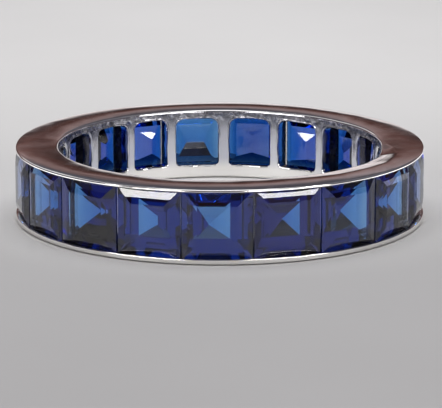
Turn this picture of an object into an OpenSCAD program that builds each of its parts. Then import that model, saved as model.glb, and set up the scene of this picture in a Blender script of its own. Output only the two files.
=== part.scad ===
// Full eternity ring: a polished white metal channel band that holds a
// whole circle of square step-cut blue stones between two plain rails.
// Millimetres. +Z is the finger's axis, the band rests on Z = 0, and the
// angles in SEATS count from the front (-Y) towards the right (+X).

/* [Band] */
// Diameter of the finger hole
hole_d = 16.7; // [16.5:0.1:17.5]
// Radial thickness of the band, from the finger hole to the rails' outer edge
wall_r = 2.25; // [2.2:0.05:2.4]
// Width of the band along the finger
band_h = 3.8; // [3.7:0.05:4.0]
// Thickness of the lower rail where it shows beside the stones
lip_low = 0.27; // [0.24:0.01:0.32]
// Thickness of the upper rail where it shows beside the stones
lip_top = 0.17; // [0.16:0.01:0.24]
// Thickness of the pierced wall that lies against the finger
inner_wall = 0.6; // [0.5:0.05:0.7]
// Width of the shallow bevel along the outside of each rail's flat face
bevel_w = 0.22; // [0.1:0.02:0.3]
// Drop of that bevel at the rails' outer edge
bevel_d = 0.035; // [0.01:0.005:0.05]
// Rounding of the rails' outer corners
round_out = 0.06; // [0.03:0.01:0.08]
// Rounding of the finger hole's two edges
round_in = 0.09; // [0.05:0.01:0.12]

/* [Windows] */
// Height of the lowest edge of the windows behind the stones
window_z0 = 0.72; // [0.66:0.02:0.8]
// Height of their highest edge
window_z1 = 3.28; // [3.1:0.02:3.28]
// How far the pierced zone is hollowed, between the two unbroken strips
relief = 0.02; // [0.01:0.01:0.05]
// Rounding of the windows' upper corners
round_high = 0.4; // [0.2:0.02:0.5]
// Rounding of the windows' lower corners
round_low = 0.24; // [0.1:0.02:0.4]
// Width of the fin of metal that stands between two stones' backs
fin_w = 0.3; // [0.2:0.05:0.3]

/* [Stones] */
// How far the stones' flat tops lie below the rails' outer edge
table_sink = 0.04; // [0.03:0.01:0.08]
// Height of the crown, from the girdle to the flat top
crown_h = 0.26; // [0.22:0.02:0.3]
// Depth of the back of a stone, from the girdle to its point
back_h = 1.56; // [1.4:0.02:1.58]
// Thickness of the girdle
girdle = 0.1; // [0.06:0.01:0.12]
// Gap between neighbouring stones
stone_gap = 0.05; // [0.04:0.01:0.1]
// Gap between a stone and the grooves that hold it
seat_gap = 0.02; // [0.01:0.01:0.03]

/* [Hidden] */
$fn = 64;
JOINT = 0; BAR = 1; CROWN = 2; CORE = 3; KEEL = 4; LEAN = 5; LIFT = 6;
// One row for each stone. joint: the angle where it meets the stone before
// it. bar: width of the bar behind that joint. crown: how far in its crown
// facets reach, against the usual cut. core: size of its back's last step.
// keel: half height (below 0, half width) of the edge the back ends in. lean,
// lift: that edge's shift sideways and up. The last four are shares of the
// stone's half width or half height.
SEATS = [
//   joint   bar  crown  core   keel   lean   lift
    [-10.4, 0.58, 1.00, 0.48,  0.02, -0.24, -0.10],
    [  9.1, 0.56, 0.84, 0.48,  0.02,  0.00,  0.00],
    [ 28.4, 0.55, 0.94, 0.50,  0.05,  0.02,  0.04],
    [ 47.7, 0.56, 0.90, 0.46,  0.08,  0.05,  0.00],
    [ 67.0, 0.55, 1.04, 0.50,  0.20, -0.05,  0.05],
    [ 84.9, 0.57, 0.96, 0.44,  0.10,  0.08,  0.00],
    [102.8, 0.55, 1.06, 0.52,  0.22,  0.00, -0.04],
    [120.8, 0.52, 0.92, 0.46,  0.12, -0.10, -0.08],
    [140.0, 0.54, 1.02, 0.56,  0.30, -0.22, -0.12],
    [159.2, 0.50, 0.95, 0.54,  0.28, -0.06, -0.06],
    [178.4, 0.66, 1.05, 0.52, -0.28,  0.06,  0.00],
    [198.2, 0.58, 0.90, 0.55,  0.24, -0.12, -0.06],
    [215.0, 0.50, 1.00, 0.50,  0.20,  0.12,  0.04],
    [233.3, 0.62, 0.93, 0.46,  0.10,  0.00,  0.00],
    [252.9, 0.55, 1.05, 0.50, -0.15,  0.05,  0.05],
    [272.6, 0.57, 0.97, 0.46,  0.18, -0.06,  0.00],
    [292.3, 0.55, 0.92, 0.50,  0.22, -0.10,  0.04],
    [311.3, 0.56, 1.00, 0.34,  0.05,  0.12,  0.04],
    [331.2, 0.55, 1.08, 0.50,  0.14,  0.10, -0.04]
];
// Facet rings of a stone. in: the share of the half width taken off. at: the
// share of the crown's or back's height.
//                 in    at
CROWN_STEP  = [  0.26, 0.72];
CROWN_TABLE = [  0.43, 1.00];
BACK_STEP1  = [  0.23, 0.38];
// The back's second step is as large as CORE says, at this share of its height
back_step2 = 0.73;
// Half thickness of the edge a back ends in, as a share of the half width
keel_edge = 0.015;

hole_r = hole_d / 2;
rim_r = hole_r + wall_r;
table_r = rim_r - table_sink;
girdle_r = table_r - crown_h;
groove = 0.06;
// The grooves reach a little past the girdles' corners
groove_r = girdle_r / cos(10) + seat_gap;
stone_z = (lip_low + band_h - lip_top) / 2;
stone_hh = (band_h - lip_top - lip_low) / 2 + groove - seat_gap;
seat_r0 = hole_r + inner_wall;
fin_tip = 0.19;
fin_ridge = 0.09;
// The channel's floor starts a little below the windows and ends above them
floor_low = min(lip_low + 0.34, window_z0 - 0.06);
floor_top = max(band_h - lip_top - 0.34, window_z1 + 0.04);
count = len(SEATS);

function joint(i) = SEATS[i % count][JOINT] + (i >= count ? 360 : 0);
function mid(i) = (joint(i) + joint(i + 1)) / 2;
function half_arc(i) = (joint(i + 1) - joint(i)) / 2;
function bar(i) = SEATS[i % count][BAR];

// The band's solid section before the channel is cut: a plate with rounded
// corners and a shallow bevel along the outside of both flat faces
module plate_section() {
    a = round_in; b = round_out; h = band_h;
    difference() {
        union() {
            translate([hole_r + a, 0]) square([wall_r - a - b, h]);
            translate([hole_r, a]) square([a, h - 2 * a]);
            translate([rim_r - b, b]) square([b, h - 2 * b]);
            for (z = [a, h - a]) translate([hole_r + a, z]) circle(a);
            for (z = [b, h - b]) translate([rim_r - b, z]) circle(b);
        }
        polygon([[rim_r - bevel_w, h], [rim_r + bevel_w, h - 2 * bevel_d], [rim_r + bevel_w, h + 1], [rim_r - bevel_w, h + 1]]);
        polygon([[rim_r - bevel_w, 0], [rim_r + bevel_w, 2 * bevel_d], [rim_r + bevel_w, -1], [rim_r - bevel_w, -1]]);
        // the pierced zone is hollowed a little between the two unbroken strips
        polygon([[hole_r - 1, window_z0 - 0.08], [hole_r, window_z0 - 0.08], [hole_r + relief, window_z0 - 0.05],
            [hole_r + relief, window_z1 + 0.05], [hole_r, window_z1 + 0.08], [hole_r - 1, window_z1 + 0.08]]);
    }
}

// The channel's own section: open outwards, with a groove for the girdles
// in each rail and a slope that follows the stones' backs
module channel_section() {
    zb = lip_low; zt = band_h - lip_top;
    polygon([
        [rim_r + 1, zb], [groove_r, zb], [groove_r, zb - groove],
        [girdle_r - 0.14, zb - groove], [girdle_r - 0.24, zb],
        [girdle_r - 0.79, floor_low], [seat_r0, floor_low],
        [seat_r0, floor_top], [girdle_r - 0.79, floor_top],
        [girdle_r - 0.24, zt], [girdle_r - 0.14, zt + groove],
        [groove_r, zt + groove], [groove_r, zt], [rim_r + 1, zt]]);
}

// A window's outline: a rectangle whose corners are rounded in short flats,
// more so at the top
module window_outline(w, h) {
    polygon([for (q = [0 : 3]) let(r = q == 1 || q == 0 ? round_high : round_low)
        for (a = [0 : 22.5 : 90])
            [(q == 0 || q == 3 ? 1 : -1) * (w / 2 - r) + r * cos(a + 90 * q),
             (q < 2 ? 1 : -1) * (h / 2 - r) + r * sin(a + 90 * q)]]);
}

// The opening behind one stone, straight through the inner wall
module window(i) {
    w = 2 * hole_r * tan(half_arc(i)) - (bar(i) + bar(i + 1)) / 2;
    turn = mid(i) + (bar(i) - bar(i + 1)) / 4 / hole_r * 180 / PI;
    rotate([0, 0, turn - 90])
        translate([hole_r - 0.5, 0, (window_z0 + window_z1) / 2])
            rotate([90, 0, 90])
                linear_extrude(1.6)
                    window_outline(w, window_z1 - window_z0);
}

// The fin of metal behind one joint, narrowing to a ridge between the stones
module fin(i) {
    rotate([0, 0, joint(i) - 90])
        translate([0, 0, lip_low - 0.02])
            linear_extrude(band_h - lip_low - lip_top + 0.04)
                polygon([[seat_r0 - 0.2, fin_w / 2], [seat_r0 - 0.2, -fin_w / 2], [girdle_r - 0.62, -fin_w / 2],
                    [girdle_r - 0.34, -fin_tip / 2], [girdle_r - 0.21, -fin_ridge / 2], [girdle_r - 0.21, fin_ridge / 2],
                    [girdle_r - 0.34, fin_tip / 2], [girdle_r - 0.62, fin_w / 2]]);
}

module band() {
    color("gainsboro") union() {
        difference() {
            rotate_extrude($fn = 180) difference() {
                plate_section();
                channel_section();
            }
            for (i = [0 : count - 1]) window(i);
        }
        for (i = [0 : count - 1]) fin(i);
    }
}

// One facet ring: four corners of a stone at distance r from the ring's axis,
// round a middle that may be shifted sideways and up
function facet_ring(r, w, h, shift = 0, up = 0) =
    [for (c = [[-1, -1], [1, -1], [1, 1], [-1, 1]]) [r, shift + c[0] * w, up + c[1] * h]];

// A square step-cut stone: flat top, two crown steps, girdle, three back steps
module stone(i) {
    w = (girdle_r - girdle) * tan(half_arc(i)) - stone_gap / 2;
    h = stone_hh;
    k = SEATS[i][CROWN]; core = SEATS[i][CORE]; keel = SEATS[i][KEEL];
    lean = SEATS[i][LEAN]; lift = SEATS[i][LIFT];
    back_r = girdle_r - girdle;
    rings = [
        facet_ring(table_r, w * (1 - k * CROWN_TABLE[0]), h * (1 - k * CROWN_TABLE[0])),
        facet_ring(girdle_r + crown_h * CROWN_STEP[1], w * (1 - k * CROWN_STEP[0]), h * (1 - k * CROWN_STEP[0])),
        facet_ring(girdle_r, w, h),
        facet_ring(back_r, w, h),
        facet_ring(back_r - back_h * BACK_STEP1[1], w * (1 - BACK_STEP1[0]), h * (1 - BACK_STEP1[0])),
        facet_ring(back_r - back_h * back_step2, w * core, h * core, w * lean / 2),
        facet_ring(back_r - back_h, w * max(keel_edge, -keel), h * max(keel_edge, keel), w * lean, h * lift)];
    last = len(rings) - 1;
    color("midnightblue") rotate([0, 0, mid(i) - 90]) translate([0, 0, stone_z])
        polyhedron(
            points = [for (ring = rings) for (p = ring) p],
            faces = concat(
                [[3, 2, 1, 0]],
                [for (j = [0 : last - 1]) for (c = [0 : 3]) [4 * j + c, 4 * j + (c + 1) % 4, 4 * j + 4 + (c + 1) % 4, 4 * j + 4 + c]],
                [[4 * last, 4 * last + 1, 4 * last + 2, 4 * last + 3]]));
}

band();
for (i = [0 : count - 1])
    stone(i);
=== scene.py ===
import math

import bmesh
import bpy
from mathutils import Matrix, Vector, noise


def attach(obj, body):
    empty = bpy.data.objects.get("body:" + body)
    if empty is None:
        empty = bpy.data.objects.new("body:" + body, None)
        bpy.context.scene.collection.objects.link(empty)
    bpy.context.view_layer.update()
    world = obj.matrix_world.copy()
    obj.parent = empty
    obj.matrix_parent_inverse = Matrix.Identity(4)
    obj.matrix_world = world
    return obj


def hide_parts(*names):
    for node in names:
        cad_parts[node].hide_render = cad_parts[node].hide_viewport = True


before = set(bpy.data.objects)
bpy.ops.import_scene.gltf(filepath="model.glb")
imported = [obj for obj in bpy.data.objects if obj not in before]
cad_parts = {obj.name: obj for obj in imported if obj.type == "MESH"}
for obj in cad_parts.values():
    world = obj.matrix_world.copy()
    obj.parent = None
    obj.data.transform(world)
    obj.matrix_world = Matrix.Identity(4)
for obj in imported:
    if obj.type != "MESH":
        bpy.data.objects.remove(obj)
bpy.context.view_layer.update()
MM = 0.001

# ---------------------------------------------------------------- sizes (mm)
HOLE_R = 8.35
RIM_R = 10.6
H = 3.8
LIP_LOW = 0.27
LIP_TOP = 0.17
INNER_WALL = 0.6
GROOVE = 0.06
WIN_Z0, WIN_Z1 = 0.72, 3.28
FIN_W = 0.3
FIN_TIP, FIN_RIDGE = 0.19, 0.09
CROWN_H = 0.26
TABLE_R = RIM_R - 0.04
GIRDLE_R = TABLE_R - CROWN_H
GROOVE_OUT = 0.18
BACK_H = 1.56
GIRDLE = 0.1
STONE_GAP = 0.05
SEAT_GAP = 0.02
SEAT_R0 = HOLE_R + INNER_WALL
FLOOR_LOW = LIP_LOW + 0.34
FLOOR_TOP = max(H - LIP_TOP - 0.34, WIN_Z1 + 0.04)
DOME, CREST = 0.11, 0.016  # slope of the flat face at its edges, and how far its middle stands up
STONE_Z = (LIP_LOW + H - LIP_TOP) / 2
STONE_HH = (H - LIP_TOP - LIP_LOW) / 2 + GROOVE - SEAT_GAP

# joint angle, width of the bar behind it, reach of the crown facets; then the
# back's: size of its last step, half height (or, below 0, half width) of the
# edge it ends in, and that edge's shift sideways and up, all as shares of the
# half width
SEATS = [
    (-10.4, 0.58, 1.00, 0.48, 0.02, -0.24, -0.10), (9.1, 0.56, 0.84, 0.48, 0.02, 0.00, 0.00),
    (28.4, 0.55, 0.94, 0.50, 0.05, 0.02, 0.04), (47.7, 0.56, 0.90, 0.46, 0.08, 0.05, 0.00),
    (67.0, 0.55, 1.04, 0.50, 0.20, -0.05, 0.05), (84.9, 0.57, 0.96, 0.44, 0.10, 0.08, 0.00),
    (102.8, 0.55, 1.06, 0.52, 0.22, 0.00, -0.04), (120.8, 0.52, 0.92, 0.46, 0.12, -0.10, -0.08),
    (140.0, 0.54, 1.02, 0.56, 0.30, -0.22, -0.12), (159.2, 0.50, 0.95, 0.54, 0.28, -0.06, -0.06),
    (178.4, 0.66, 1.05, 0.52, -0.28, 0.06, 0.00), (198.2, 0.58, 0.90, 0.55, 0.24, -0.12, -0.06),
    (215.0, 0.50, 1.00, 0.50, 0.20, 0.12, 0.04), (233.3, 0.62, 0.93, 0.46, 0.10, 0.00, 0.00),
    (252.9, 0.55, 1.05, 0.50, -0.15, 0.05, 0.05), (272.6, 0.57, 0.97, 0.46, 0.18, -0.06, 0.00),
    (292.3, 0.55, 0.92, 0.50, 0.22, -0.10, 0.04), (311.3, 0.56, 1.00, 0.34, 0.05, 0.12, 0.04),
    (331.2, 0.55, 1.08, 0.50, 0.14, 0.10, -0.04),
]
N = len(SEATS)


def joint(i):
    return SEATS[i % N][0] + (360 if i >= N else 0)


def bar(i):
    return SEATS[i % N][1]


def polar(r, deg, z):
    a = math.radians(deg)
    return Vector((r * math.sin(a), -r * math.cos(a), z))


def noise3(p, scale, seed=0.0):
    return noise.noise(Vector(p) / scale + Vector((seed, seed * 1.7, -seed * 0.6)))


# ------------------------------------------------------------- node helpers
def new_material(name):
    m = bpy.data.materials.new(name)
    m.use_nodes = True
    nt = m.node_tree
    nt.nodes.clear()
    out = nt.nodes.new("ShaderNodeOutputMaterial")
    sh = nt.nodes.new("ShaderNodeBsdfPrincipled")
    nt.links.new(sh.outputs["BSDF"], out.inputs["Surface"])
    return m, nt, sh, out


def node(nt, kind, **values):
    n = nt.nodes.new(kind)
    for k, v in values.items():
        if k in n.inputs:
            n.inputs[k].default_value = v
        else:
            setattr(n, k, v)
    return n


def noise_tex(nt, co, scale, detail=3.0, rough=0.5, distortion=0.0):
    n = node(nt, "ShaderNodeTexNoise", Scale=scale, Detail=detail, Roughness=rough, Distortion=distortion)
    nt.links.new(co, n.inputs["Vector"])
    return n.outputs["Fac"]


def ramp(nt, fac, stops):
    r = nt.nodes.new("ShaderNodeValToRGB")
    el = r.color_ramp.elements
    while len(el) > 1:
        el.remove(el[-1])
    el[0].position, el[0].color = stops[0][0], (*stops[0][1], 1)
    for pos, col in stops[1:]:
        e = el.new(pos)
        e.color = (*col, 1)
    nt.links.new(fac, r.inputs["Fac"])
    return r.outputs["Color"]


def map_range(nt, fac, a, b, c, d):
    n = node(nt, "ShaderNodeMapRange")
    for k, v in zip(("From Min", "From Max", "To Min", "To Max"), (a, b, c, d)):
        n.inputs[k].default_value = v
    nt.links.new(fac, n.inputs["Value"])
    return n.outputs["Result"]


def maths(nt, op, a, b):
    n = node(nt, "ShaderNodeMath", operation=op)
    for k, v in enumerate((a, b)):
        if isinstance(v, (int, float)):
            n.inputs[k].default_value = v
        else:
            nt.links.new(v, n.inputs[k])
    return n.outputs["Value"]


def mix_colour(nt, fac, a, b):
    n = nt.nodes.new("ShaderNodeMixRGB")
    for socket, link in zip(("Fac", "Color1", "Color2"), (fac, a, b)):
        nt.links.new(link, n.inputs[socket])
    return n.outputs["Color"]


def object_coords(nt):
    return nt.nodes.new("ShaderNodeTexCoord").outputs["Object"]


# ---------------------------------------------------------------- materials
def metal_material():
    m, nt, sh, _ = new_material("white_gold_polished")
    co = object_coords(nt)
    # polished alloy, a little warmer and greyer in places
    tone = noise_tex(nt, co, 260.0, 4.0, 0.6)
    polished = ramp(nt, tone, [(0.3, (0.80, 0.785, 0.765)), (0.7, (0.88, 0.868, 0.85))])
    # partly real, partly painted shade: the strip above the windows is scraped rough, and its dark grey, fading down
    # the wall to about 1.9 mm, stands in for the shadowed floor that this wall mirrors; inside the channel a
    # near-black is painted shade
    flat = node(nt, "ShaderNodeVectorMath", operation="MULTIPLY")
    flat.inputs[1].default_value = (1.0, 1.0, 0.0)
    nt.links.new(co, flat.inputs[0])
    length = node(nt, "ShaderNodeVectorMath", operation="LENGTH")
    nt.links.new(flat.outputs["Vector"], length.inputs[0])
    radius = length.outputs["Value"]
    xyz = nt.nodes.new("ShaderNodeSeparateXYZ")
    nt.links.new(co, xyz.inputs[0])
    z = xyz.outputs["Z"]
    bore_side = map_range(nt, radius, (HOLE_R + 0.012) * MM, (HOLE_R + 0.03) * MM, 1.0, 0.0)
    strip = maths(nt, "MULTIPLY", map_range(nt, z, 1.9 * MM, (WIN_Z1 + 0.12) * MM, 0.0, 1.0), bore_side)
    strip = maths(nt, "MULTIPLY", maths(nt, "POWER", strip, 2.2), map_range(nt, z, (H - 0.13) * MM, (H - 0.07) * MM, 1.0, 0.0))
    channel = maths(nt, "MULTIPLY", map_range(nt, radius, (SEAT_R0 + 0.01) * MM, (SEAT_R0 + 0.05) * MM, 0.0, 1.0),
                    map_range(nt, radius, (GIRDLE_R + 0.10) * MM, (GIRDLE_R + 0.16) * MM, 1.0, 0.0))
    channel = maths(nt, "MULTIPLY", channel, maths(nt, "MULTIPLY", map_range(nt, z, 0.15 * MM, 0.2 * MM, 0.0, 1.0),
                    map_range(nt, z, (H - 0.09) * MM, (H - 0.07) * MM, 1.0, 0.0)))
    rough_skin = noise_tex(nt, co, 2600.0, 4.0, 0.7, 0.6)
    # dark grey of the scraped strip: partly its rough finish, partly painted shade for the shaded floor it mirrors
    strip_grey_and_shade = ramp(nt, rough_skin, [(0.35, (0.13, 0.13, 0.15)), (0.52, (0.28, 0.28, 0.31)), (0.66, (0.62, 0.62, 0.66))])
    # painted shade: near-black in the channel's recess behind the stones, which is also made mostly non-metallic
    # below
    channel_painted_shade = ramp(nt, rough_skin, [(0.35, (0.012, 0.012, 0.016)), (0.66, (0.07, 0.07, 0.08))])
    raw = maths(nt, "MAXIMUM", strip, channel)
    # painted shade: the finger-side face of the pierced wall, above its lowest band, is painted greyer and darker
    # than the rails, for the shaded inside of the ring that it mirrors
    inside = maths(nt, "MULTIPLY", map_range(nt, radius, (HOLE_R + 0.03) * MM, (HOLE_R + 0.06) * MM, 1.0, 0.0),
                   maths(nt, "MULTIPLY", map_range(nt, z, 0.55 * MM, 1.1 * MM, 0.0, 1.0), map_range(nt, z, (H - 0.13) * MM, (H - 0.07) * MM, 1.0, 0.0)))
    inner_wall_shade_grey = ramp(nt, tone, [(0.3, (0.54, 0.55, 0.61)), (0.7, (0.66, 0.665, 0.72))])
    skin = mix_colour(nt, strip, mix_colour(nt, inside, polished, inner_wall_shade_grey), strip_grey_and_shade)
    nt.links.new(mix_colour(nt, channel, skin, channel_painted_shade), sh.inputs["Base Color"])
    nt.links.new(maths(nt, "SUBTRACT", 1.0, maths(nt, "MULTIPLY", channel, 0.8)), sh.inputs["Metallic"])
    # fine wear: roughness in patches and hairline scratches
    patch = noise_tex(nt, co, 900.0, 5.0, 0.65)
    wear = map_range(nt, patch, 0.35, 0.75, 0.05, 0.16)
    nt.links.new(maths(nt, "ADD", wear, maths(nt, "MULTIPLY", raw, 0.18)), sh.inputs["Roughness"])
    fine = noise_tex(nt, co, 5200.0, 4.0, 0.7)
    stretch = node(nt, "ShaderNodeMapping")
    stretch.inputs["Scale"].default_value = (1.0, 1.0, 7.0)
    nt.links.new(co, stretch.inputs["Vector"])
    streak = noise_tex(nt, stretch.outputs["Vector"], 1400.0, 5.0, 0.7, 0.4)
    height = maths(nt, "ADD", maths(nt, "MULTIPLY", fine, 0.25), maths(nt, "MULTIPLY", streak, 0.75))
    b = node(nt, "ShaderNodeBump", Strength=0.10, Distance=0.00002)
    nt.links.new(height, b.inputs["Height"])
    nt.links.new(b.outputs["Normal"], sh.inputs["Normal"])
    return m


def sapphire_material(name, colour, density, seed):
    m, nt, sh, out = new_material(name)
    co = object_coords(nt)
    sh.inputs["Transmission Weight"].default_value = 1.0
    sh.inputs["IOR"].default_value = 1.77
    # faint zoning of the colour and traces of handling on the facets
    zone = noise_tex(nt, co, 420.0 + 40 * seed, 2.0, 0.5)
    nt.links.new(ramp(nt, zone, [(0.35, (0.80, 0.86, 1.0)), (0.65, (0.93, 0.96, 1.0))]), sh.inputs["Base Color"])
    smudge = noise_tex(nt, co, 1500.0, 4.0, 0.6)
    nt.links.new(map_range(nt, smudge, 0.45, 0.8, 0.0, 0.05), sh.inputs["Roughness"])
    vol = node(nt, "ShaderNodeVolumeAbsorption", Color=(*colour, 1.0), Density=density)
    nt.links.new(vol.outputs["Volume"], out.inputs["Volume"])
    return m


def floor_material():
    m, nt, sh, _ = new_material("studio_floor")
    co = object_coords(nt)
    tone = noise_tex(nt, co, 30.0, 3.0, 0.5)
    nt.links.new(ramp(nt, tone, [(0.3, (0.52, 0.515, 0.51)), (0.7, (0.56, 0.555, 0.55))]), sh.inputs["Base Color"])
    sh.inputs["Roughness"].default_value = 0.75
    return m


# --------------------------------------------------------------------- band
K_H, K_C, K_V = 18, 6, 14  # segments of a window's loop: across, in a corner, up
K = K_H + K_C
M = K_V + K_C


class Builder:
    def __init__(self):
        self.verts, self.faces = [], []

    def v(self, p):
        self.verts.append(Vector(p))
        return len(self.verts) - 1

    def grid(self, rows, closed=False):
        """Quads between successive rows of points, as (r, degrees, z) mapped to space."""
        ids = [[self.v(polar(*p)) for p in row] for row in rows]
        n = len(rows[0])
        for a, b in zip(ids, ids[1:]):
            for j in range(n if closed else n - 1):
                k = (j + 1) % n
                self.faces.append((a[j], a[k], b[k], b[j]))


def seat_angles(i):
    a, b = joint(i), joint(i + 1)
    return [a + (b - a) * j / K for j in range(K + 1)]


def outer_loop(i, z0, z1):
    """The rectangle round one window, as (degrees, z), anticlockwise from its lower left corner's middle."""
    t = seat_angles(i)
    zs = [z0 + (z1 - z0) * j / M for j in range(M + 1)]
    loop = [(x, z0) for x in t[:-1]] + [(t[-1], z) for z in zs[:-1]]
    loop += [(x, z1) for x in reversed(t[1:])] + [(t[0], z) for z in reversed(zs[1:])]
    return loop


def window_loop(i, grow=0.0, wobble=1.0):
    """The window's edge, as (degrees, z), with the same count as the outer loop."""
    half = (joint(i + 1) - joint(i)) / 2
    w = 2 * HOLE_R * math.tan(math.radians(half)) - (bar(i) + bar(i + 1)) / 2
    turn = (joint(i) + joint(i + 1)) / 2 + (bar(i) - bar(i + 1)) / 4 / HOLE_R * 180 / math.pi
    zc, h = (WIN_Z0 + WIN_Z1) / 2, WIN_Z1 - WIN_Z0
    hx, hz = w / 2 + grow, h / 2 + grow
    s = 3.0 + i * 7.3
    r_low = 0.22 + 0.10 * noise.noise(Vector((s, 0.3, 0))) + grow
    r_top = 0.42 + 0.16 * noise.noise(Vector((s, 9.1, 0))) + grow

    def arc(cx, cz, r, a0, a1, n):
        return [(cx + r * math.cos(math.radians(a0 + (a1 - a0) * k / n)), cz + r * math.sin(math.radians(a0 + (a1 - a0) * k / n))) for k in range(n)]

    def side(p, q, n):
        return [(p[0] + (q[0] - p[0]) * k / n, p[1] + (q[1] - p[1]) * k / n) for k in range(n)]

    c = K_C // 2
    bl, br = (-hx + r_low, -hz + r_low), (hx - r_low, -hz + r_low)
    tr, tl = (hx - r_top, hz - r_top), (-hx + r_top, hz - r_top)
    pts = arc(*bl, r_low, 225, 270, c) + side((bl[0], -hz), (br[0], -hz), K_H) + arc(*br, r_low, 270, 360, K_C)
    pts += side((hx, br[1]), (hx, tr[1]), K_V) + arc(*tr, r_top, 0, 90, K_C)
    pts += side((tr[0], hz), (tl[0], hz), K_H) + arc(*tl, r_top, 90, 180, K_C)
    pts += side((-hx, tl[1]), (-hx, bl[1]), K_V) + arc(*bl, r_low, 180, 225, c)
    out = []
    for x, z in pts:
        n1 = noise.noise(Vector((x * 1.1 + s, z * 1.1, s))) * 0.05 * wobble
        n2 = noise.noise(Vector((x * 4 + s, z * 4, -s))) * 0.016 * wobble
        k = 1 + (n1 + n2) / max(0.4, math.hypot(x, z))
        out.append((turn + math.degrees(x * k / HOLE_R), zc + z * k))
    return out


def lerp_loop(a, b, t):
    return [(p[0] + (q[0] - p[0]) * t, p[1] + (q[1] - p[1]) * t) for p, q in zip(a, b)]


def arc_pts(cr, cz, r, a0, a1, n):
    return [(cr + r * math.cos(math.radians(a0 + (a1 - a0) * k / n)), cz + r * math.sin(math.radians(a0 + (a1 - a0) * k / n))) for k in range(n + 1)]


def upper_half_section():
    """From the finger hole's wall over the upper rail and down into the channel, as (r, z)."""
    zt = H - LIP_TOP
    ri = 0.13
    # polished face, very slightly domed between its two edges
    face0, face1 = HOLE_R + ri, RIM_R - 0.10
    mid, half = (face0 + face1) / 2, (face1 - face0) / 2

    def dome(r):
        return H + CREST - 0.5 * DOME * half * ((r - mid) / half) ** 2

    t0 = math.degrees(math.atan(DOME))
    zi = dome(face0) - ri * math.cos(math.radians(t0))
    s = arc_pts(face0 + ri * math.sin(math.radians(t0)), zi, ri, 180, 90 + t0, 6)
    s += [(face0 + (face1 - face0) * k / 18, dome(face0 + (face1 - face0) * k / 18)) for k in range(1, 18)]
    # the rounded outer corner
    s += arc_pts(RIM_R - 0.10, dome(face1) - 0.10, 0.10, 86, 0, 7)
    s += [(RIM_R, zt + 0.022)]
    s += arc_pts(RIM_R - 0.02, zt + 0.02, 0.02, 0, -90, 3)
    s += [(GIRDLE_R + GROOVE_OUT + 0.02, zt), (GIRDLE_R + GROOVE_OUT, zt + 0.02), (GIRDLE_R + GROOVE_OUT, zt + GROOVE), (GIRDLE_R - 0.14, zt + GROOVE)]
    s += [(GIRDLE_R - 0.24, zt), (GIRDLE_R - 0.5, zt - 0.15), (GIRDLE_R - 0.79, FLOOR_TOP), (SEAT_R0 + 0.06, FLOOR_TOP), (SEAT_R0, FLOOR_TOP)]
    return s


def lower_half_section():
    """The same for the lower rail, from the channel round to the finger hole's wall."""
    zb = LIP_LOW
    s = [(SEAT_R0, FLOOR_LOW), (SEAT_R0 + 0.06, FLOOR_LOW), (GIRDLE_R - 0.79, FLOOR_LOW), (GIRDLE_R - 0.5, zb + 0.15), (GIRDLE_R - 0.24, zb)]
    s += [(GIRDLE_R - 0.14, zb - GROOVE), (GIRDLE_R + GROOVE_OUT, zb - GROOVE), (GIRDLE_R + GROOVE_OUT, zb - 0.02), (GIRDLE_R + GROOVE_OUT + 0.02, zb)]
    s += arc_pts(RIM_R - 0.035, zb - 0.035, 0.035, 90, 0, 3)
    s += [(RIM_R, zb - 0.08), (RIM_R, 0.12)]
    s += arc_pts(RIM_R - 0.06, 0.085, 0.06, 0, -78, 5)
    s += [(RIM_R - 0.12, 0.013), (RIM_R - 0.17, 0.005)]
    face0, face1 = HOLE_R + 0.09, RIM_R - 0.22
    s += [(face1 + (face0 - face1) * k / 8, 0.0) for k in range(0, 9)]
    s += arc_pts(HOLE_R + 0.09, 0.09, 0.09, -90, -180, 6)[1:]
    return s


# angle round the ring, and how wide the wear is there
WORN = ((12, 0.0), (24, 0.68), (40, 1.05), (62, 1.25), (74, 1.00), (82, 0.62), (88, 0.22), (94, 0.08), (112, 0.0))


def worn_edge(u, t):
    """How far the flat face drops at u mm from the finger hole, where its inner edge is worn down at the right."""
    wide = 0.0
    for (ta, wa), (tb, wb) in zip(WORN, WORN[1:]):
        if ta <= t < tb:
            wide = wa + (wb - wa) * (t - ta) / (tb - ta)
    if wide <= 0:
        return 0.0
    slope = math.tan(math.radians(min(4.1 / max(0.05, math.cos(math.radians(t))), 15.5)))
    if u >= wide:
        return 0.0
    dome = DOME * ((wide - u) - (wide ** 2 - u ** 2) / 2.24)
    return max(0.0, slope * (wide - u) - dome)


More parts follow.
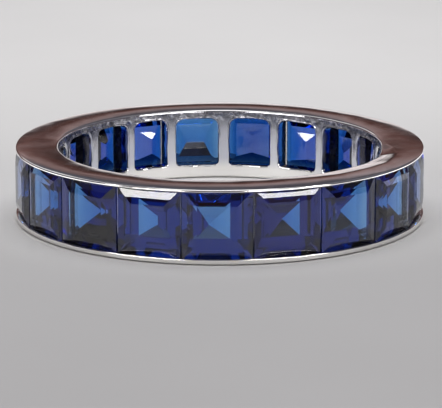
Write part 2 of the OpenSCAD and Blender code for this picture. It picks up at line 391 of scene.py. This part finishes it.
def build_band():
    b = Builder()
    z0, z1 = 0.09, upper_half_section()[0][1]
    for i in range(N):
        # the pierced wall: finger side, the windows' sides, and the side towards the stones
        rect, win = outer_loop(i, z0, z1), window_loop(i)
        edge = window_loop(i, 0.12)
        rect_b = outer_loop(i, FLOOR_LOW, FLOOR_TOP)
        inner_b = window_loop(i, 0.0)
        rows = [[(HOLE_R, *p) for p in lerp_loop(rect, edge, t)] for t in (0, 0.14, 0.28, 0.42, 0.56, 0.70, 0.85)]
        # a low bead round the window, left by the burnisher
        rows.append([(HOLE_R + 0.006, *p) for p in edge])
        rows.append([(HOLE_R - 0.012, *p) for p in lerp_loop(edge, win, 0.30)])
        rows.append([(HOLE_R - 0.008, *p) for p in lerp_loop(edge, win, 0.55)])
        rows.append([(HOLE_R + 0.022, *p) for p in lerp_loop(edge, win, 0.82)])
        rows.append([(HOLE_R + 0.075, *p) for p in win])
        rows += [[(HOLE_R + d, *p) for p in inner_b] for d in (0.2, 0.36, INNER_WALL - 0.02)]
        rows.append([(SEAT_R0, *p) for p in window_loop(i, 0.015)])
        rows += [[(SEAT_R0, *p) for p in lerp_loop(window_loop(i, 0.015), rect_b, t)] for t in (0.5, 1.0)]
        b.grid(rows, closed=True)
        # the rails and the channel
        for sec in (upper_half_section(), lower_half_section()):
            b.grid([[(r, t, z) for t in seat_angles(i)] for r, z in sec])
    me = bpy.data.meshes.new("channel_band")
    me.from_pydata([v * MM for v in b.verts], [], b.faces)
    bm = bmesh.new()
    bm.from_mesh(me)
    bmesh.ops.remove_doubles(bm, verts=bm.verts, dist=2e-7)
    bmesh.ops.recalc_face_normals(bm, faces=bm.faces)
    # hand finishing: a slightly uneven flat face, worn lips and tool marks
    bm.verts.ensure_lookup_table()
    bm.normal_update()
    moves = []
    for v in bm.verts:
        p = v.co / MM
        r, z = math.hypot(p.x, p.y), p.z
        d = Vector((0, 0, 0))
        radial = Vector((p.x, p.y, 0)) / r
        t = math.degrees(math.atan2(p.x, -p.y))
        if r < HOLE_R + 0.02 and WIN_Z1 + 0.02 < z < z1 - 0.001:
            # scraped strip above the windows
            d += radial * (0.035 * noise3(p, 0.55, 3) + 0.022 * noise3(p, 0.22, 5)) * min(1.0, (z1 - z) / 0.12)
        elif r < HOLE_R + 0.02 and 0.1 < z < WIN_Z0:
            d += radial * 0.008 * noise3(p, 0.9, 2)
        elif r < HOLE_R + 0.02 and 0.1 < z < H - 0.1:
            d += radial * 0.010 * noise3(p, 0.5, 4)
        if z > H - 0.11 and r > HOLE_R + 0.05:
            d.z += 0.013 * noise3(p, 3.2, 7) + 0.004 * noise3(p, 1.0, 8) - 0.004
            # worn more along the outside at the back right
            outside = max(0.0, 1 - (RIM_R - r) / 0.8) ** 2
            d.z -= 0.034 * outside * math.exp(-((t - 132) / 24) ** 2)
            # and a softer outer edge at the front left
            d.z -= 0.040 * max(0.0, 1 - (RIM_R - r) / 0.35) ** 2 * math.exp(-((t + 52) / 26) ** 2)
        if z > z1 - 0.001 and r < HOLE_R + 1.4:
            d.z -= worn_edge(r - HOLE_R, t)
        elif r < HOLE_R + 0.04 and z > WIN_Z1 + 0.12:
            d.z -= worn_edge(0.0, t) * (z - WIN_Z1 - 0.12) / (z1 - WIN_Z1 - 0.12)
        if r > GIRDLE_R + GROOVE_OUT + 0.01 and LIP_LOW - 0.12 < z < LIP_LOW + 0.02:
            d.z += 0.022 * noise3((p.x, p.y, 0), 1.1, 9)
        if r > GIRDLE_R + GROOVE_OUT + 0.01 and H - LIP_TOP - 0.01 < z < H - LIP_TOP + 0.04:
            d.z += 0.016 * noise3((p.x, p.y, 0), 1.2, 11)
        moves.append(d)
    for v, d in zip(bm.verts, moves):
        v.co += d * MM
    # fins between the stones' backs
    for i in range(N):
        fin(bm, joint(i))
    bmesh.ops.recalc_face_normals(bm, faces=bm.faces)
    bm.to_mesh(me)
    bm.free()
    me.shade_smooth()
    me.set_sharp_from_angle(angle=math.radians(34))
    ob = bpy.data.objects.new("channel_band", me)
    bpy.context.collection.objects.link(ob)
    return ob


def fin(bm, deg):
    """A blade of metal that narrows to a ridge between the two stones' backs."""
    r0, r1, r2, r3 = SEAT_R0 - 0.2, GIRDLE_R - 0.62, GIRDLE_R - 0.34, GIRDLE_R - 0.21
    z0, z1 = LIP_LOW - 0.02, H - LIP_TOP + 0.02
    turn = Matrix.Rotation(math.radians(deg - 90), 4, "Z")
    # past the ridge, a hair of metal that closes the gap between two girdles
    r4, hair = GIRDLE_R + 0.02, 0.024
    plan = [(r0, FIN_W / 2), (r0, -FIN_W / 2), (r1, -FIN_W / 2), (r2, -FIN_TIP / 2), (r3, -FIN_RIDGE / 2), (r4, -hair / 2),
            (r4, hair / 2), (r3, FIN_RIDGE / 2), (r2, FIN_TIP / 2), (r1, FIN_W / 2)]
    rings = [[bm.verts.new(turn @ (Vector((r, y, z)) * MM)) for r, y in plan] for z in (z0, z1)]
    n = len(plan)
    made = [bm.faces.new(rings[0]), bm.faces.new(rings[1][::-1])]
    made += [bm.faces.new((rings[0][j], rings[1][j], rings[1][(j + 1) % n], rings[0][(j + 1) % n])) for j in range(n)]
    edges = {e for f in made for e in f.edges}
    bmesh.ops.bevel(bm, geom=list(edges), offset=0.01 * MM, segments=2, affect="EDGES", profile=0.5)


# ------------------------------------------------------------------- stones
CROWN_STEP, CROWN_TABLE = (0.26, 0.72), (0.43, 1.00)
BACK_STEP1, BACK_STEP2 = (0.77, 0.38), 0.73
EDGE = 0.015


def build_stone(i):
    a, b = joint(i), joint(i + 1)
    mid, half = (a + b) / 2, math.radians((b - a) / 2)
    back_r = GIRDLE_R - GIRDLE
    w = back_r * math.tan(half) - STONE_GAP / 2
    h = STONE_HH
    _, _, k, core, keel, lean, lift = SEATS[i]
    # radius, half width and half height as shares, shift sideways and up
    rings = [
        (TABLE_R, 1 - k * CROWN_TABLE[0], 1 - k * CROWN_TABLE[0], 0, 0),
        (GIRDLE_R + CROWN_H * CROWN_STEP[1], 1 - k * CROWN_STEP[0], 1 - k * CROWN_STEP[0], 0, 0),
        (GIRDLE_R, 1, 1, 0, 0),
        (back_r, 1, 1, 0, 0),
        (back_r - BACK_H * BACK_STEP1[1], BACK_STEP1[0], BACK_STEP1[0], 0, 0),
        (back_r - BACK_H * BACK_STEP2, core, core, lean / 2, 0),
        (back_r - BACK_H, max(EDGE, -keel), max(EDGE, keel), lean, lift),
    ]
    turn = Matrix.Rotation(math.radians(mid - 90), 4, "Z")
    verts, faces = [], []
    for r, sw, sh, shift, up in rings:
        for cx, cz in ((-1, -1), (1, -1), (1, 1), (-1, 1)):
            verts.append(turn @ Vector((r, w * (shift + cx * sw), STONE_Z + h * (up + cz * sh))) * MM)
    last = len(rings) - 1
    faces.append((3, 2, 1, 0))
    for j in range(last):
        for c in range(4):
            d = (c + 1) % 4
            faces.append((4 * j + c, 4 * j + d, 4 * j + 4 + d, 4 * j + 4 + c))
    faces.append(tuple(4 * last + c for c in range(4)))
    me = bpy.data.meshes.new("sapphire_%02d" % (i + 1))
    me.from_pydata(verts, [], faces)
    bm = bmesh.new()
    bm.from_mesh(me)
    bmesh.ops.recalc_face_normals(bm, faces=bm.faces)
    bm.to_mesh(me)
    bm.free()
    ob = bpy.data.objects.new("sapphire_%02d" % (i + 1), me)
    bpy.context.collection.objects.link(ob)
    return ob


# ------------------------------------------------------------------ making
metal = metal_material()
blues = [
    sapphire_material("sapphire_mid", (0.15, 0.56, 0.845), 1750.0, 0),
    sapphire_material("sapphire_deep", (0.13, 0.54, 0.835), 2050.0, 1),
    sapphire_material("sapphire_clear", (0.19, 0.55, 0.835), 1600.0, 2),
    sapphire_material("sapphire_royal", (0.02, 0.52, 0.88), 2450.0, 3),
    sapphire_material("sapphire_ink", (0.02, 0.50, 0.83), 2600.0, 4),
]
TINT = [0, 1, 0, 2, 1, 0, 3, 3, 3, 4, 0, 3, 3, 3, 0, 1, 2, 1, 0]

band = build_band()
band.data.materials.append(metal)
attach(band, "root")
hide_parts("band")

for i in range(N):
    st = build_stone(i)
    st.data.materials.append(blues[TINT[i]])
    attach(st, "root")
    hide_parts("stone_%02d" % (i + 1))

# ------------------------------------------------------------- studio set
floor_me = bpy.data.meshes.new("studio_floor")
S = 1.2
floor_me.from_pydata([(-S, -S, -1.5e-5), (S, -S, -1.5e-5), (S, S, -1.5e-5), (-S, S, -1.5e-5)], [], [(0, 1, 2, 3)])
floor = bpy.data.objects.new("studio_floor", floor_me)
bpy.context.collection.objects.link(floor)
floor_me.materials.append(floor_material())


def look_at(ob, target):
    d = Vector(target) - ob.location
    ob.rotation_euler = d.to_track_quat("-Z", "Y").to_euler()


def softbox(name, azimuth, elevation, dist, size, power, colour=(1, 1, 1), size_y=None):
    """Azimuth 0 is behind the camera (-Y), positive towards +X."""
    li = bpy.data.lights.new(name, "AREA")
    li.shape = "RECTANGLE"
    li.size, li.size_y = size, size_y or size
    li.energy, li.color = power, colour
    ob = bpy.data.objects.new(name, li)
    a, e = math.radians(azimuth), math.radians(elevation)
    ob.location = (dist * math.cos(e) * math.sin(a), -dist * math.cos(e) * math.cos(a), 0.002 + dist * math.sin(e))
    look_at(ob, (0, 0, 0.002))
    bpy.context.collection.objects.link(ob)
    return ob


def pool(name, x, y, reach, power, blend=0.6):
    """A soft pool of light on the floor, reach metres across at its edge, from straight above."""
    li = bpy.data.lights.new(name, "SPOT")
    li.energy, li.shadow_soft_size = power, 0.01
    li.spot_size, li.spot_blend = 2 * math.atan(reach / 0.4), blend
    ob = bpy.data.objects.new(name, li)
    ob.location = (x, y, 0.4)
    bpy.context.collection.objects.link(ob)
    ob.visible_glossy = False
    ob.visible_transmission = False


for key in (softbox("key_left", -43, 28, 0.5, 0.36, 1.6, (1.0, 0.98, 0.95), 0.14),
            softbox("key_right", 40, 28, 0.5, 0.40, 1.75, (1.0, 0.98, 0.95), 0.14)):
    key.visible_transmission = False
    key.visible_diffuse = False
overhead = softbox("top", 180, 80, 0.6, 0.34, 0.7, (0.97, 0.98, 1.0))
overhead.visible_diffuse = False
overhead.visible_transmission = False
# small lights that only polished faces mirror
for card in (softbox("glint_left", -74, 44, 0.5, 0.055, 0.12),
             softbox("glint_right", 64, 46, 0.5, 0.06, 0.16),
             softbox("edge_left", -158, 36, 0.5, 0.12, 0.10, (1.0, 0.99, 0.98), 0.30)):
    card.visible_diffuse = False
    card.visible_transmission = False
pool("pool_inside", 0, 0.0015, 0.0068, 7.0)
pool("pool_behind", 0, 0.047, 0.060, 3.4, 1.0)
# a glowing card on the table at each side, for the lips' outer faces to mirror
for x in (-0.060, 0.060):
    li = bpy.data.lights.new("table_card", "AREA")
    li.shape = "RECTANGLE"
    li.size, li.size_y, li.energy = 0.075, 0.08, 0.035
    ob = bpy.data.objects.new("table_card", li)
    ob.location, ob.rotation_euler = (x, 0, 0.0005), (math.pi, 0, 0)
    bpy.context.collection.objects.link(ob)
    ob.visible_diffuse = False
    ob.visible_transmission = False
# an even, soft light from straight above for the table
li = bpy.data.lights.new("ceiling", "SUN")
li.energy, li.angle = 1.9, math.radians(45)
ob = bpy.data.objects.new("ceiling", li)
bpy.context.collection.objects.link(ob)
ob.visible_glossy = False
ob.visible_transmission = False

# a plain studio: dim walls, a softly lit ceiling, and a pale backdrop for the camera
world = bpy.data.worlds.new("studio")
bpy.context.scene.world = world
world.use_nodes = True
wn = world.node_tree
bg = wn.nodes["Background"]
wout = wn.nodes["World Output"]
sky = wn.nodes.new("ShaderNodeTexCoord")
parts = wn.nodes.new("ShaderNodeSeparateXYZ")
wn.links.new(sky.outputs["Generated"], parts.inputs[0])
walls = ramp(wn, parts.outputs["Z"], [
    (0.00, (1.20, 1.20, 1.22)), (0.07, (1.05, 1.04, 1.05)), (0.105, (0.50, 0.49, 0.49)), (0.135, (0.05, 0.033, 0.034)), (0.18, (0.045, 0.026, 0.024)),
    (0.225, (0.11, 0.055, 0.048)), (0.27, (0.27, 0.19, 0.185)), (0.32, (0.24, 0.20, 0.205)), (0.37, (0.08, 0.082, 0.10)),
    (0.52, (0.12, 0.125, 0.15)), (0.75, (0.15, 0.155, 0.18)), (1.0, (0.26, 0.26, 0.27))])
# uneven walls, so that polished metal has something to mirror
uneven = noise_tex(wn, sky.outputs["Generated"], 9.0, 3.0, 0.6, 0.4)
lit = wn.nodes.new("ShaderNodeMixRGB")
lit.blend_type = "MULTIPLY"
lit.inputs["Fac"].default_value = 1.0
wn.links.new(walls, lit.inputs["Color1"])
wn.links.new(ramp(wn, uneven, [(0.32, (0.55, 0.45, 0.45)), (0.5, (0.95, 0.90, 0.90)), (0.66, (1.5, 1.5, 1.55))]), lit.inputs["Color2"])
bg.inputs["Strength"].default_value = 1.0
seen = wn.nodes.new("ShaderNodeBackground")
seen.inputs["Color"].default_value = (0.46, 0.455, 0.45, 1)
mix = wn.nodes.new("ShaderNodeMixShader")
ray = wn.nodes.new("ShaderNodeLightPath")
# the stones let less of the bright table's far edge through than the metal mirrors
low = ramp(wn, parts.outputs["Z"], [(0.0, (0.30, 0.30, 0.30)), (0.09, (0.40, 0.40, 0.40)), (0.14, (1.0, 1.0, 1.0))])
through = wn.nodes.new("ShaderNodeMixRGB")
through.blend_type = "MULTIPLY"
wn.links.new(ray.outputs["Is Transmission Ray"], through.inputs["Fac"])
wn.links.new(lit.outputs["Color"], through.inputs["Color1"])
wn.links.new(low, through.inputs["Color2"])
wn.links.new(through.outputs["Color"], bg.inputs["Color"])
wn.links.new(ray.outputs["Is Camera Ray"], mix.inputs["Fac"])
wn.links.new(bg.outputs[0], mix.inputs[1])
wn.links.new(seen.outputs[0], mix.inputs[2])
wn.links.new(mix.outputs[0], wout.inputs["Surface"])

# ----------------------------------------------------------------- camera
cam_data = bpy.data.cameras.new("camera")
cam = bpy.data.objects.new("camera", cam_data)
bpy.context.collection.objects.link(cam)
e, dist = 0.2291, 0.14948
centre = Vector((0, 0, H / 2 * MM))
cam.location = centre + dist * Vector((0, -math.cos(e), math.sin(e)))
up = Vector((0, math.sin(e), math.cos(e)))
aim = centre - up * (26.04 / 2872.8 * dist) + Vector((1, 0, 0)) * (1.33 / 2872.8 * dist)
look_at(cam, aim)
cam_data.sensor_fit = "HORIZONTAL"
cam_data.sensor_width = 36.0
cam_data.lens = 36.0 * 2872.8 / 442
cam_data.clip_start = 0.005
cam_data.clip_end = 10
bpy.context.scene.camera = cam

sc = bpy.context.scene
sc.view_settings.view_transform = "Standard"
sc.cycles.max_bounces = 24
sc.cycles.transmission_bounces = 20
sc.cycles.glossy_bounces = 8
sc.cycles.transparent_max_bounces = 8
